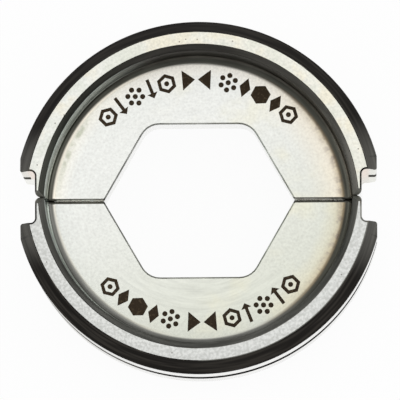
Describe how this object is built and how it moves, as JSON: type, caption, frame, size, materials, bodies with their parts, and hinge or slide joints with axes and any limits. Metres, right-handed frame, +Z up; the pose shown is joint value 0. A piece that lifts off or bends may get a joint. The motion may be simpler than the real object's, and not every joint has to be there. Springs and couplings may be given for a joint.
{
  "type": "crimping die",
  "caption": "Half-round hexagonal crimping dies, closed face to face, which a hydraulic press tool squeezes together to crimp a cable lug onto its conductor.",
  "frame": {"origin": "middle of the closed pair, on the plane of the rim faces that it lies on", "axes": "+Z up along the axis of the cable, X along the parting plane, +Y towards the upper half"},
  "size_m": [0.0442, 0.0438, 0.02],
  "materials": {
    "plated_steel": "turned and milled tool steel, bright plated, satin"
  },
  "bodies": {
    "root": {"upper_die_half": "plated_steel", "lower_die_half": "plated_steel"}
  },
  "joints": []
}
